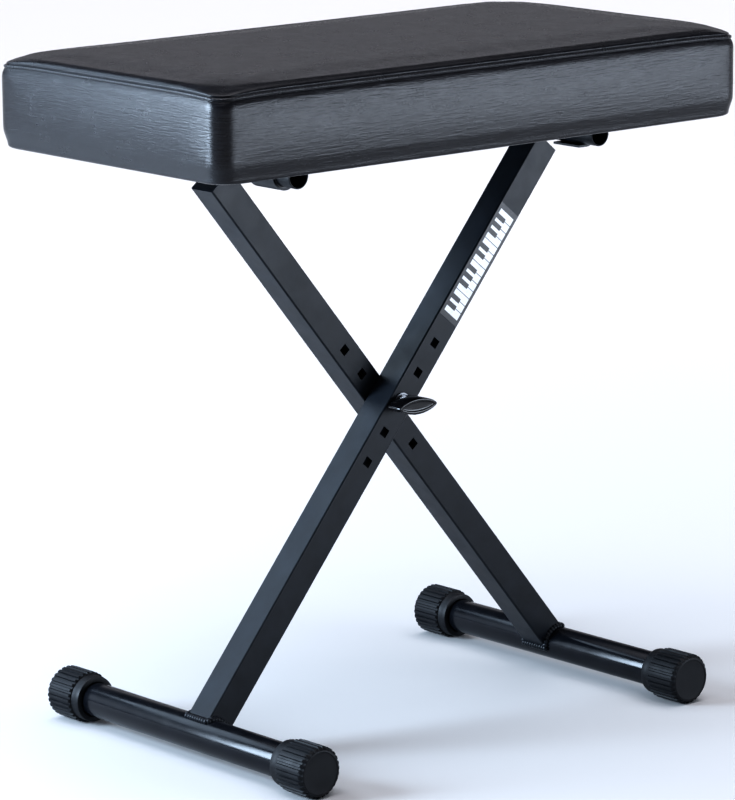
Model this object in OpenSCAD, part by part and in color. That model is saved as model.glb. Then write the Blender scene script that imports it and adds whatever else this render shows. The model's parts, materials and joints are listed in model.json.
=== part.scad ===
// Folding keyboard bench: a padded seat on a frame of two crossed legs.
// X runs along the seat, Y across it and Z up. The floor is z = 0, under the seat's middle.
// The front leg runs from the left foot tube to the right cross tube, the rear leg the other way.

/* [Seat] */
// Length of the seat over its cover
seat_l = 614; // [500:2:760]
// Depth of the seat over its cover
seat_w = 314; // [250:2:400]
// Radius of the seat's upright corners
seat_r = 17; // [14:1:40]
// Height of the side band, below the welt
band_h = 72; // [50:1:100]
// Width of the welt between the band and the top panel
welt_w = 4; // [2:0.5:8]
// How far the welt stands proud of the band
welt_proud = 0.8; // [0.2:0.1:2]
// Rise of the top panel above the welt
crown_h = 7; // [4:1:16]
// Distance from the side to the flat of the top panel
crown_in = 12; // [8:1:25]
// Radius of the top panel's flat at its corners
crown_r = 30; // [20:1:60]
// Thickness of the cover
cover_t = 1.2; // [0.8:0.1:2]
// Width of the foam that wraps the board's edge
foam_wrap = 9; // [6:1:20]
// Thickness of the plywood board
board_t = 12; // [9:1:18]
// Thickness of the hem where the cover is turned under
hem_t = 1.5; // [1:0.1:3]
// Distance from the side to the hem's inner edge
hem_in = 28; // [20:1:40]
// Thickness of the dust cover
dust_t = 0.5; // [0.3:0.1:1]

/* [Staples] */
// Length of a staple's crown
staple_l = 10; // [6:1:14]
// Thickness of the staple wire
staple_d = 0.7; // [0.5:0.1:1.2]
// Length of a staple's legs
staple_leg = 7; // [4:1:10]
// Largest distance between two staples
staple_pitch = 42; // [25:1:60]

/* [Legs] */
// Distance between the axes of the two foot tubes
foot_spread = 448.5; // [360:0.5:520]
// Centre hole to the axis of the foot tube
leg_lower = 352; // [290:1:440]
// Centre hole to the leg's top end
leg_upper = 284; // [230:1:350]
// Width of the leg tube, across the leg in the plane of the cross
leg_w = 28; // [23:0.5:36]
// Depth of the leg tube, along Y
leg_d = 29.5; // [23:0.5:36]
// Wall of the leg tube
leg_wall = 1.5; // [1.2:0.1:3]
// Outside radius of the leg tube's edges
leg_edge_r = 1.6; // [1.6:0.1:4]
// Y of the plane between the legs
leg_plane_y = -3; // [-10:0.5:10]
// Side of the square holes in the legs
pin_hole = 8.2; // [8.2:0.1:9]
// Distance between neighbouring holes
hole_pitch = 32; // [22:1:45]
// Holes above the centre hole, and below it
hole_rows = 2; // [1:1:3]
// Depth of the plug in the leg's top end
plug_h = 14; // [8:1:25]
// Thickness of the plug's face and walls
plug_wall = 2.2; // [1.5:0.1:4]

/* [Feet] */
// Outside diameter of a foot tube
foot_od = 31.75; // [25:0.25:40]
// Wall of a foot tube
foot_wall = 1.5; // [1.2:0.1:3]
// Length of a foot tube
foot_l = 354; // [280:1:440]
// Length of an end cap
cap_l = 45; // [30:1:60]
// Thickness of an end cap's closed end
cap_end_t = 4; // [3:0.5:8]
// Thickness of an end cap's wall below its ribs
cap_wall = 6.125; // [4:0.125:9]
// Height of the ribs on an end cap
rib_h = 1.5; // [0.8:0.1:2.5]
// Number of ribs on an end cap
rib_n = 28; // [20:2:36]
// Length of the smooth collar on an end cap
collar_l = 10; // [6:1:16]
// Step from the cap's wall down to its collar
collar_step = 1; // [0.5:0.1:2]
// Bevel at an end cap's outer end
cap_bevel = 3.5; // [2:0.5:5]

/* [Cross tubes] */
// Outside diameter of a cross tube
cross_od = 22; // [18:0.5:28]
// Wall of a cross tube
cross_wall = 1.5; // [1.2:0.1:3]
// Length of a cross tube
cross_l = 210; // [180:1:240]
// Distance of a cross tube from its leg's centre line
cross_in = 11.6; // [6:0.1:14]

/* [Seat brackets] */
// Distance of a bracket from the seat's middle
bracket_y = 70; // [55:1:80]
// Width of a bracket
bracket_w = 34; // [30:1:44]
// Thickness of the bracket steel
bracket_t = 2; // [1.5:0.1:3]
// Thickness of the nylon liner in a saddle
liner_t = 1; // [0.8:0.1:2]
// Length of a bracket's flange beyond its wall
flange_l = 19; // [16:1:21]
// Length of a hook's lip under the tube
lip_l = 9; // [6:1:14]
// Distance between the two screws of a hook
hook_screw_gap = 18; // [16:1:22]

/* [Fasteners] */
// Diameter of the pivot bolt
bolt_d = 8; // [6:0.5:8]
// Diameter of the pivot bolt's domed head
bolt_head_d = 20; // [16:1:24]
// Height of the pivot bolt's head
bolt_head_h = 4.5; // [3:0.5:6]
// Diameter of the washer between the legs
washer_d = 24; // [18:1:27]
// Thickness of the washer between the legs
washer_t = 1; // [0.6:0.1:2]
// Diameter of the bracket screws
screw_d = 6; // [5:0.5:7]
// Diameter of a bracket screw's head
screw_head_d = 12; // [10:0.5:13]
// Height of a bracket screw's head
screw_head_h = 3.5; // [3:0.5:4]
// Diameter of a tee nut's flange
tee_d = 18; // [15:0.5:22]
// Thickness of a tee nut's flange
tee_t = 1.5; // [1:0.1:2]
// Wall of a tee nut's barrel
tee_wall = 1; // [0.8:0.1:1.5]

/* [Knob] */
// Length of the knob's leaf-shaped handle
knob_l = 48; // [36:1:60]
// Width of the handle
knob_w = 15; // [14:0.5:20]
// Depth of the handle
knob_h = 17; // [14:0.5:22]
// Diameter of the knob's hub
hub_d = 14; // [14:0.5:20]
// Length of the hub behind the handle
hub_l = 5.5; // [3:0.5:10]
// Diameter of the knob's threaded insert
insert_d = 11; // [10.5:0.5:12]
// Length of the insert
insert_l = 14; // [10:0.5:18]
// Thickness of the washer behind the knob
knob_washer_t = 1.5; // [1:0.1:3]
// Diameter of the washer behind the knob
knob_washer_d = 18; // [14:1:24]

/* [Label] */
// Distance of the label above the centre hole
label_from = 89; // [80:1:100]
// Length of the label
label_l = 121; // [60:1:125]
// Thickness of the label
label_t = 0.3; // [0.2:0.1:0.5]

/* [Clearances] */
// Radial play of a tube that turns in its liner or cap
run_gap = 0.05; // [0.02:0.01:0.1]
// Gap between a piece and the skin around it
skin_gap = 0.1; // [0.05:0.05:0.3]
// Gap at the end of a foot tube inside its cap
end_gap = 0.5; // [0.2:0.1:1]
// Gap between a cross tube and the dust cover or a hook
tube_gap = 0.4; // [0.3:0.1:1]
// Gap between a leg's shaped end and the tube welded to it
weld_gap = 0.1; // [0.05:0.05:0.3]
// Play around a screw or bolt in a plain hole
hole_gap = 0.2; // [0.1:0.1:0.5]

/* [Hidden] */

$fn = 64;

// Colours
VINYL = [0.10, 0.10, 0.12];
FOAM = [0.86, 0.82, 0.66];
PLYWOOD = [0.72, 0.56, 0.36];
FELT = [0.16, 0.16, 0.17];
STEEL_BLACK = [0.07, 0.08, 0.10];
RUBBER = [0.05, 0.05, 0.05];
ZINC = [0.68, 0.69, 0.70];
BRASS = [0.75, 0.60, 0.30];
NYLON = [0.12, 0.12, 0.13];
GLOSS_BLACK = [0.03, 0.03, 0.03];
LABEL_WHITE = [0.92, 0.92, 0.92];

// Feet
foot_x = foot_spread / 2;
cap_root_r = foot_od / 2 + cap_wall;
cap_crest_r = cap_root_r + rib_h;
collar_r = cap_root_r - collar_step;
cap_face_r = cap_crest_r - cap_bevel;
cap_over = foot_l + 2 * (end_gap + cap_end_t);
rib_pitch = 2 * PI * cap_root_r / rib_n;
rib_base_w = 0.82 * rib_pitch;
rib_top_w = 0.5 * rib_pitch;
foot_z = cap_crest_r;

// Legs: local x runs up the leg from the centre hole, local z towards the inner side
leg_angle = acos(foot_x / leg_lower);
pivot_z = foot_z + leg_lower * sin(leg_angle);
front_leg_y = leg_plane_y - washer_t / 2 - leg_d;
rear_leg_y = leg_plane_y + washer_t / 2;
rear_face_y = rear_leg_y + leg_d;
bore_w = leg_w - 2 * leg_wall;
bore_d = leg_d - 2 * leg_wall;
bore_r = max(leg_edge_r - leg_wall, 0.1);

// Cross tubes rest on the legs' top ends, set a little into them
cross_set = 0.6;
cross_r = cross_od / 2;
cross_u = leg_upper + cross_r - cross_set;
cross_x = cross_u * cos(leg_angle) - cross_in * sin(leg_angle);
cross_z = pivot_z + cross_u * sin(leg_angle) + cross_in * cos(leg_angle);

// Seat, from the dust cover up
dust_z = cross_z + cross_r + tube_gap;
board_z = dust_z + dust_t;
board_top_z = board_z + board_t;
hem_z = board_z - hem_t;
welt_z = hem_z + band_h;
crown_z = welt_z + welt_w;
top_z = crown_z + crown_h;
foam_in = cover_t + skin_gap;
board_in = foam_in + foam_wrap;
dust_in = hem_in + 0.5;

// The top panel's roll: share of crown_in and of crown_h at each step
ROLL = [[0, 0], [0.12, 0.45], [0.42, 0.84], [1, 1]];

// Brackets, measured from the tube's axis
liner_r = cross_r + run_gap;
saddle_r = liner_r + liner_t + run_gap;
hook_r = cross_r + tube_gap;
flange_z = dust_z - cross_z;
saddle_screw_x = saddle_r + bracket_t + flange_l / 2 + 0.5;
hook_screw_x = hook_r + bracket_t + flange_l / 2 + 0.5;
SCREW_SPOTS = concat(
    [for (side = [-1, 1], y = [-1, 1]) [-cross_x + side * saddle_screw_x, y * bracket_y]],
    [for (side = [-1, 1], y = [-1, 1])
        [cross_x + hook_screw_x, y * bracket_y + side * hook_screw_gap / 2]]
);
tee_barrel_d = screw_d + 2 * hole_gap + 2 * tee_wall;
tee_barrel_l = board_t - 2;

// Weld beads
bead_r = 2.4;
foot_r = foot_od / 2;
foot_meet = sqrt(max(foot_r * foot_r - leg_w * leg_w / 4, 1));
foot_meet_angle = asin(min(leg_w / 2 / foot_r, 0.98));
cross_meet = sqrt(max(cross_r * cross_r - pow(leg_w / 2 - cross_in, 2), 1));

// Knob, from the front leg's face forwards
knob_back_y = front_leg_y - knob_washer_t;
handle_back_y = knob_back_y - hub_l;
knob_front_y = handle_back_y - knob_h;
leaf_r = (knob_l * knob_l + knob_w * knob_w) / (4 * knob_w);
leaf_rim = 1.6;
leaf_inset = 0.8;
bolt_end_y = knob_back_y - insert_l - 1;
head_sphere_r = (bolt_head_d * bolt_head_d / 4 + bolt_head_h * bolt_head_h) / (2 * bolt_head_h);
neck_l = 4;

// ---------- shapes used by several pieces ----------

module round_rect(l, w, r) {
    square([l - 2 * r, w], center = true);
    square([l, w - 2 * r], center = true);
    for (x = [-1, 1], y = [-1, 1])
        translate([x * (l / 2 - r), y * (w / 2 - r)])
            circle(r);
}

// A flat slab of the seat's outline, set in from the sides
module seat_slab(inset, z0, z1, r = seat_r) {
    translate([0, 0, z0])
        linear_extrude(z1 - z0)
            round_rect(seat_l - 2 * inset, seat_w - 2 * inset, max(r - inset, 2));
}

// A slab with a window, as a ring around the seat
module seat_ring(outer, inner, z0, z1) {
    difference() {
        seat_slab(outer, z0, z1);
        seat_slab(inner, z0 - 1, z1 + 1);
    }
}

// The crowned top, thinner by skin on every side, from base_z up
module crown(skin, base_z) {
    rise = crown_h - skin;
    hull()
        for (step = ROLL) {
            level = crown_z + rise * step[1];
            low = step[1] == 0 ? base_z : level - 0.05;
            translate([0, 0, low])
                linear_extrude(level - low + (step[1] == 0 ? 0.05 : 0))
                    round_rect(seat_l - 2 * (skin + crown_in * step[0]),
                               seat_w - 2 * (skin + crown_in * step[0]),
                               seat_r - skin + (crown_r - seat_r) * step[0], $fn = 32);
        }
}

// A cylinder along Y
module y_rod(d, y0, y1) {
    translate([0, y0, 0])
        rotate([-90, 0, 0])
            cylinder(d = d, h = y1 - y0);
}

// A tube along Y, centred on y = 0
module y_tube(d, wall, l) {
    difference() {
        y_rod(d, -l / 2, l / 2);
        y_rod(d - 2 * wall, -l / 2 - 1, l / 2 + 1);
    }
}

// Places a leg's pieces: side 1 is the front leg, side -1 the rear leg
module on_leg(side) {
    translate([0, 0, pivot_z])
        mirror([side < 0 ? 1 : 0, 0, 0])
            rotate([0, -leg_angle, 0])
                children();
}

// ---------- seat ----------

module seat_board() {
    color(PLYWOOD)
        difference() {
            seat_slab(board_in, board_z, board_top_z);
            for (spot = SCREW_SPOTS)
                translate([spot[0], spot[1], board_z - 1])
                    cylinder(d = tee_barrel_d + hole_gap, h = board_t + 2);
        }
}

module seat_foam() {
    color(FOAM)
        difference() {
            union() {
                seat_slab(foam_in, board_z, crown_z);
                crown(foam_in, crown_z - 1);
            }
            seat_slab(board_in - skin_gap, board_z - 1, board_top_z);
            for (spot = SCREW_SPOTS)
                translate([spot[0], spot[1], board_top_z - 1])
                    cylinder(d = tee_d + 2, h = tee_t + 2);
        }
}

module cover_top_panel() {
    color(VINYL)
        difference() {
            crown(0, crown_z);
            crown(cover_t, crown_z - 1);
        }
}

module cover_side_band() {
    color(VINYL)
        seat_ring(0, cover_t, hem_z, welt_z);
}

module cover_welt() {
    color(VINYL)
        seat_ring(-welt_proud, cover_t, welt_z, crown_z);
}

module cover_hem() {
    color(VINYL)
        seat_ring(cover_t, hem_in, hem_z, board_z);
}

module dust_cover() {
    color(FELT)
        difference() {
            seat_slab(dust_in, dust_z, board_z);
            for (spot = SCREW_SPOTS)
                translate([spot[0], spot[1], dust_z - 1])
                    cylinder(d = screw_d + 2 * hole_gap, h = dust_t + 2);
        }
}

// One staple with its crown just under z = 0, along X
module staple() {
    translate([-staple_l / 2, -staple_d / 2, -staple_d])
        cube([staple_l, staple_d, staple_d]);
    for (side = [-1, 1])
        translate([side * (staple_l - staple_d) / 2, 0, staple_leg / 2 - staple_d])
            cube([staple_d, staple_d, staple_leg], center = true);
}

// Staples on the four sides of a rectangle, under height z
module staple_row(inset, z) {
    half_l = seat_l / 2 - inset;
    half_w = seat_w / 2 - inset;
    long_n = ceil((2 * half_l - 2 * staple_l) / staple_pitch);
    short_n = ceil((2 * half_w - 2 * staple_l) / staple_pitch);
    for (side = [-1, 1]) {
        for (i = [1 : long_n - 1])
            translate([-half_l + i * 2 * half_l / long_n, side * half_w, z])
                staple();
        for (i = [1 : short_n - 1])
            translate([side * half_l, -half_w + i * 2 * half_w / short_n, z])
                rotate([0, 0, 90])
                    staple();
    }
}

module hem_staples() {
    color(ZINC)
        staple_row((board_in + hem_in) / 2, hem_z);
}

module dust_cover_staples() {
    color(ZINC)
        staple_row(dust_in + 5, dust_z);
}

// ---------- seat brackets ----------

// Strap that wraps under the tube, with a flange on each side
module saddle(y) {
    color(STEEL_BLACK)
        translate([-cross_x, y - bracket_w / 2, cross_z])
            difference() {
                rotate([90, 0, 0])
                    mirror([0, 0, 1])
                        linear_extrude(bracket_w)
                            saddle_outline();
                for (side = [-1, 1])
                    translate([side * saddle_screw_x, bracket_w / 2, 0])
                        cylinder(d = screw_d + 2 * hole_gap, h = flange_z + 1);
            }
}

module saddle_outline() {
    outer = saddle_r + bracket_t;
    difference() {
        union() {
            circle(outer);
            translate([-outer, 0])
                square([2 * outer, flange_z]);
            translate([-outer - flange_l, flange_z - bracket_t])
                square([2 * (outer + flange_l), bracket_t]);
        }
        circle(saddle_r);
        translate([-saddle_r, 0])
            square([2 * saddle_r, flange_z + 1]);
        translate([-outer - 1, flange_z])
            square([2 * outer + 2, outer]);
    }
}

module saddle_left_front() {
    saddle(-bracket_y);
}

module saddle_left_rear() {
    saddle(bracket_y);
}

module saddle_liners() {
    color(NYLON)
        for (y = [-bracket_y, bracket_y])
            translate([-cross_x, y - bracket_w / 2, cross_z])
                rotate([90, 0, 0])
                    mirror([0, 0, 1])
                        linear_extrude(bracket_w)
                            difference() {
                                union() {
                                    circle(liner_r + liner_t);
                                    translate([-liner_r - liner_t, 0])
                                        square([2 * (liner_r + liner_t), cross_r / 2]);
                                }
                                circle(liner_r);
                                translate([-liner_r, 0])
                                    square([2 * liner_r, cross_od]);
                            }
}

// Hook that is open towards the seat's middle, so that the tube can slide out of it
module hook(y) {
    color(STEEL_BLACK)
        translate([cross_x, y - bracket_w / 2, cross_z])
            difference() {
                rotate([90, 0, 0])
                    mirror([0, 0, 1])
                        linear_extrude(bracket_w)
                            hook_outline();
                for (side = [-1, 1])
                    translate([hook_screw_x, bracket_w / 2 + side * hook_screw_gap / 2, 0])
                        cylinder(d = screw_d + 2 * hole_gap, h = flange_z + 1);
            }
}

module hook_outline() {
    outer = hook_r + bracket_t;
    intersection() {
        difference() {
            circle(outer);
            circle(hook_r);
        }
        translate([0, -outer])
            square([outer, outer]);
    }
    translate([hook_r, 0])
        square([bracket_t, flange_z]);
    translate([hook_r, flange_z - bracket_t])
        square([bracket_t + flange_l, bracket_t]);
    translate([-lip_l, -outer])
        square([lip_l, bracket_t]);
}

module hook_right_front() {
    hook(-bracket_y);
}

module hook_right_rear() {
    hook(bracket_y);
}

module bracket_screws() {
    socket_d = 0.42 * screw_head_d;
    color(ZINC)
        for (spot = SCREW_SPOTS)
            translate([spot[0], spot[1], dust_z - bracket_t])
                difference() {
                    union() {
                        translate([0, 0, -screw_head_h])
                            cylinder(d = screw_head_d, h = screw_head_h);
                        cylinder(d = screw_d, h = bracket_t + dust_t + board_t - 1);
                    }
                    translate([0, 0, -screw_head_h - 1])
                        cylinder(d = socket_d, h = 1 + 0.6 * screw_head_h, $fn = 6);
                }
}

module tee_nuts() {
    color(ZINC)
        for (spot = SCREW_SPOTS)
            translate([spot[0], spot[1], board_top_z])
                difference() {
                    union() {
                        cylinder(d = tee_d, h = tee_t);
                        translate([0, 0, -tee_barrel_l])
                            cylinder(d = tee_barrel_d, h = tee_barrel_l);
                    }
                    translate([0, 0, -tee_barrel_l - 1])
                        cylinder(d = screw_d + hole_gap, h = tee_barrel_l + tee_t + 2);
                }
}

// ---------- legs ----------

// A bar along the leg, from low to high, centred on the leg that starts at y0
module leg_bar(y0, low, high, w, d, r = 0) {
    translate([low, y0 + leg_d / 2, 0])
        rotate([90, 0, 90])
            linear_extrude(high - low)
                if (r > 0)
                    round_rect(d, w, r);
                else
                    square([d, w], center = true);
}

// Room for the foot tube and the cross tube that are welded to a leg
module weld_room() {
    translate([-leg_lower, 0, 0])
        y_rod(foot_od + 2 * weld_gap, -leg_d * 2, leg_d * 2);
    translate([cross_u, 0, cross_in])
        y_rod(cross_od + 2 * weld_gap, -leg_d * 2, leg_d * 2);
}

module leg_tube(y0) {
    difference() {
        leg_bar(y0, -leg_lower, leg_upper, leg_w, leg_d, leg_edge_r);
        leg_bar(y0, -leg_lower - 1, leg_upper + 1, bore_w, bore_d, bore_r);
        for (i = [-hole_rows : hole_rows])
            translate([i * hole_pitch - pin_hole / 2, y0 - 1, -pin_hole / 2])
                cube([pin_hole, leg_d + 2, pin_hole]);
        weld_room();
    }
}

// Cup-shaped plug, pressed into the leg's top end
module leg_plug(y0) {
    plug_w = bore_w - 2 * skin_gap;
    plug_d = bore_d - 2 * skin_gap;
    bottom = leg_upper - plug_h;
    color(RUBBER)
        difference() {
            leg_bar(y0, bottom, leg_upper, plug_w, plug_d);
            leg_bar(y0, bottom - 1, leg_upper - plug_wall - cross_set,
                    plug_w - 2 * plug_wall, plug_d - 2 * plug_wall);
            weld_room();
        }
}

// Beads around the leg's foot and along the cross tube
module leg_welds(y0) {
    overlap = 1.5;
    color(STEEL_BLACK)
        difference() {
            union() {
                for (side = [-1, 1]) {
                    translate([foot_meet - leg_lower, 0, side * leg_w / 2])
                        y_rod(2 * bead_r, y0 - overlap, y0 + leg_d + overlap);
                    translate([-leg_lower, y0 + (1 + side) * leg_d / 2, 0])
                        rotate([-90, 0, 0])
                            rotate([0, 0, -foot_meet_angle])
                                rotate_extrude(angle = 2 * foot_meet_angle)
                                    translate([foot_r, 0])
                                        circle(bead_r);
                }
                translate([cross_u - cross_meet, 0, leg_w / 2])
                    y_rod(2 * bead_r, y0 + overlap, y0 + leg_d - overlap);
                translate([leg_upper + 0.3, 0, cross_in - 0.6 * cross_r])
                    y_rod(2 * bead_r, y0 + overlap, y0 + leg_d - overlap);
            }
            leg_bar(y0, -leg_lower, leg_upper, leg_w, leg_d);
            weld_room();
        }
}

module label(y0) {
    translate([label_from, y0 - label_t, 1 - leg_w / 2])
        cube([label_l, label_t, leg_w - 2]);
}

module front_leg_tube() {
    color(STEEL_BLACK)
        on_leg(1)
            leg_tube(front_leg_y);
}

module front_leg_plug() {
    on_leg(1)
        leg_plug(front_leg_y);
}

module front_leg_welds() {
    on_leg(1)
        leg_welds(front_leg_y);
}

module leg_label() {
    color(LABEL_WHITE)
        on_leg(1)
            label(front_leg_y);
}

module rear_leg_tube() {
    color(STEEL_BLACK)
        on_leg(-1)
            leg_tube(rear_leg_y);
}

module rear_leg_plug() {
    on_leg(-1)
        leg_plug(rear_leg_y);
}

module rear_leg_welds() {
    on_leg(-1)
        leg_welds(rear_leg_y);
}

// ---------- foot tubes and cross tubes ----------

module foot_tube(side) {
    color(STEEL_BLACK)
        translate([side * foot_x, 0, foot_z])
            y_tube(foot_od, foot_wall, foot_l);
}

module foot_tube_left() {
    foot_tube(-1);
}

module foot_tube_right() {
    foot_tube(1);
}

module cross_tube(side) {
    color(STEEL_BLACK)
        translate([side * cross_x, 0, cross_z])
            y_tube(cross_od, cross_wall, cross_l);
}

module cross_tube_left() {
    cross_tube(-1);
}

module cross_tube_right() {
    cross_tube(1);
}

// ---------- end caps ----------

// The cap's outline without ribs, or the outline that the ribs reach when rib is rib_h
module cap_profile(rib) {
    edge = 1;
    r = cap_root_r + rib;
    polygon([
        [0, 0], [collar_r - edge, 0], [collar_r, edge], [collar_r, collar_l],
        [r - edge, collar_l], [r, collar_l + edge],
        [r, cap_l - cap_bevel], [cap_face_r, cap_l], [0, cap_l]
    ]);
}

module cap_ribs() {
    for (i = [0 : rib_n - 1])
        rotate([0, 0, i * 360 / rib_n])
            translate([0, 0, collar_l])
                linear_extrude(cap_l - collar_l)
                    polygon([
                        [-rib_base_w / 2, cap_root_r - 1], [-rib_top_w / 2, cap_crest_r],
                        [rib_top_w / 2, cap_crest_r], [rib_base_w / 2, cap_root_r - 1]
                    ]);
}

// A cap on the end of a foot tube, with one rib's flat crest on the floor
module foot_cap(side, end) {
    rim = 1.4;
    color(RUBBER)
        translate([side * foot_x, 0, foot_z])
            mirror([0, end < 0 ? 1 : 0, 0])
                translate([0, cap_over / 2 - cap_l, 0])
                    rotate([-90, 0, 0])
                        difference() {
                            union() {
                                rotate_extrude()
                                    cap_profile(0);
                                intersection() {
                                    cap_ribs();
                                    rotate_extrude()
                                        cap_profile(rib_h + 0.2);
                                }
                            }
                            translate([0, 0, -1])
                                cylinder(r = foot_r + run_gap, h = cap_l - cap_end_t + 1);
                            translate([0, 0, cap_l - 0.6])
                                cylinder(r = cap_face_r - rim, h = 1);
                        }
}

module foot_cap_left_front() {
    foot_cap(-1, -1);
}

module foot_cap_left_rear() {
    foot_cap(-1, 1);
}

module foot_cap_right_front() {
    foot_cap(1, -1);
}

module foot_cap_right_rear() {
    foot_cap(1, 1);
}

// ---------- pivot and knob ----------

// Carriage bolt: domed head behind the rear leg, square neck in its hole
module pivot_bolt() {
    color(ZINC)
        translate([0, 0, pivot_z]) {
            intersection() {
                translate([0, rear_face_y + bolt_head_h - head_sphere_r, 0])
                    sphere(head_sphere_r);
                y_rod(bolt_head_d, rear_face_y, rear_face_y + bolt_head_h + 1);
            }
            rotate([0, leg_angle, 0])
                translate([-bolt_d / 2, rear_face_y - neck_l, -bolt_d / 2])
                    cube([bolt_d, neck_l, bolt_d]);
            y_rod(bolt_d, bolt_end_y, rear_face_y);
        }
}

module pivot_washer() {
    color(NYLON)
        translate([0, 0, pivot_z])
            difference() {
                y_rod(washer_d, leg_plane_y - washer_t / 2, leg_plane_y + washer_t / 2);
                y_rod(bolt_d + 2 * hole_gap, leg_plane_y - washer_t, leg_plane_y + washer_t);
            }
}

// Outline of the handle, pointed at both ends
module leaf(trim) {
    intersection() {
        translate([0, leaf_r - knob_w / 2])
            circle(leaf_r - trim, $fn = 128);
        translate([0, knob_w / 2 - leaf_r])
            circle(leaf_r - trim, $fn = 128);
        circle(knob_l / 2 - 1 - trim);
    }
}

module knob_body() {
    color(GLOSS_BLACK)
        translate([0, 0, pivot_z])
            difference() {
                union() {
                    translate([0, handle_back_y, 0])
                        rotate([90, 0, 0])
                            linear_extrude(knob_h)
                                leaf(0);
                    y_rod(hub_d, handle_back_y - 1, knob_back_y);
                }
                translate([0, knob_front_y + leaf_inset, 0])
                    rotate([90, 0, 0])
                        linear_extrude(leaf_inset + 1)
                            leaf(leaf_rim);
                y_rod(insert_d + 2 * run_gap, knob_back_y - insert_l, knob_back_y + 1);
                y_rod(bolt_d + 2 * hole_gap, bolt_end_y - 1, knob_back_y);
            }
}

module knob_insert() {
    color(BRASS)
        translate([0, 0, pivot_z])
            difference() {
                y_rod(insert_d, knob_back_y - insert_l, knob_back_y);
                y_rod(bolt_d + 2 * run_gap, knob_back_y - insert_l - 1, knob_back_y + 1);
            }
}

module knob_washer() {
    color(ZINC)
        translate([0, 0, pivot_z])
            difference() {
                y_rod(knob_washer_d, knob_back_y, front_leg_y);
                y_rod(bolt_d + 2 * run_gap, knob_back_y - 1, front_leg_y + 1);
            }
}

seat_board();
seat_foam();
cover_top_panel();
cover_side_band();
cover_welt();
cover_hem();
hem_staples();
dust_cover();
dust_cover_staples();
saddle_left_front();
saddle_left_rear();
saddle_liners();
hook_right_front();
hook_right_rear();
bracket_screws();
tee_nuts();
front_leg_tube();
foot_tube_left();
cross_tube_right();
front_leg_plug();
front_leg_welds();
leg_label();
rear_leg_tube();
foot_tube_right();
cross_tube_left();
rear_leg_plug();
rear_leg_welds();
pivot_bolt();
pivot_washer();
foot_cap_left_front();
foot_cap_left_rear();
foot_cap_right_front();
foot_cap_right_rear();
knob_body();
knob_insert();
knob_washer();
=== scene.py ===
import json
import math

import bmesh
import bpy
from mathutils import Matrix, Vector
from mathutils.kdtree import KDTree


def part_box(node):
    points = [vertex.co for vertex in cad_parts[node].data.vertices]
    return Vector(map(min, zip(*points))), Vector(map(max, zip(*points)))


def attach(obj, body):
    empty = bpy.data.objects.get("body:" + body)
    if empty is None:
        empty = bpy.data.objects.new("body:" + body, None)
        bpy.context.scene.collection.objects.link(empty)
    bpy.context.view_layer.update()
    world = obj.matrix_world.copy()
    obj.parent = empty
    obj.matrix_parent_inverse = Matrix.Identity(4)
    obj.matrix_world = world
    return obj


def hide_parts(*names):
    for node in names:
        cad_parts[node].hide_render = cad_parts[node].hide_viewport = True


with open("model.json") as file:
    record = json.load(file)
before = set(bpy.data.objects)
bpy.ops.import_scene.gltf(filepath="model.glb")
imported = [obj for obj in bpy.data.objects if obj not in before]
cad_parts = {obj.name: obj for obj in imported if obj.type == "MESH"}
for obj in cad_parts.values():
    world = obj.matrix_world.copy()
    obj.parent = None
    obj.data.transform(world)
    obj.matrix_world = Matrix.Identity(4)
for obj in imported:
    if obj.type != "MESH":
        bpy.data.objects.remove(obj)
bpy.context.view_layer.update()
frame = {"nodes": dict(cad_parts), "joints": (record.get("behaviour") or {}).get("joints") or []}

MM = 0.001

# ---------- sizes, in millimetres ----------

# Places of the joints and pieces, from the frame
JOINTS = {joint["name"]: joint for joint in frame["joints"]}


def joint_place(name):
    return Vector(JOINTS[name]["pos_m"]) / MM


def node_box(name):
    low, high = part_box(name)
    return Vector(low) / MM, Vector(high) / MM


BAND_LOW, BAND_HIGH = node_box("cover_side_band")
DUST_LOW, DUST_HIGH = node_box("dust_cover")
SEAT_L = BAND_HIGH.x - BAND_LOW.x
SEAT_W = BAND_HIGH.y - BAND_LOW.y
HEM_Z = BAND_LOW.z
WELT_Z = BAND_HIGH.z
TOP_Z = node_box("cover_top_panel")[1].z
BOARD_Z = DUST_HIGH.z
# How far the cover is turned in under the board
HEM_IN = 28
# The top's edge runs from the seam, at this inset, to the flat, at this one
ROLL_IN, SLOPE_IN = 3, 12.5
# Corners of the seat's outline, at the side band and at the flat top
CORNER_R = 17
CROWN_CORNER_R = 27
# How far the seam dips at a corner, and the most that the padding swells
SEAM_DIP = 2
SWELL_CAP = 3.5

FOOT = joint_place("left_foot_turn")
PIVOT = joint_place("scissor")
CROSS = joint_place("seat_turn")
LEG_ANGLE = math.atan2(PIVOT.z - FOOT.z, PIVOT.x - FOOT.x)
LEG_LOWER = math.hypot(PIVOT.z - FOOT.z, PIVOT.x - FOOT.x)
LEG_W = 28
TUBE_WALL = 1.5


def tube_radius(node):
    low, high = node_box(node)
    return (high.z - low.z) / 2


FOOT_R = tube_radius("foot_tube_left")
CROSS_R = tube_radius("cross_tube_left")


# ---------- materials ----------

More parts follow.
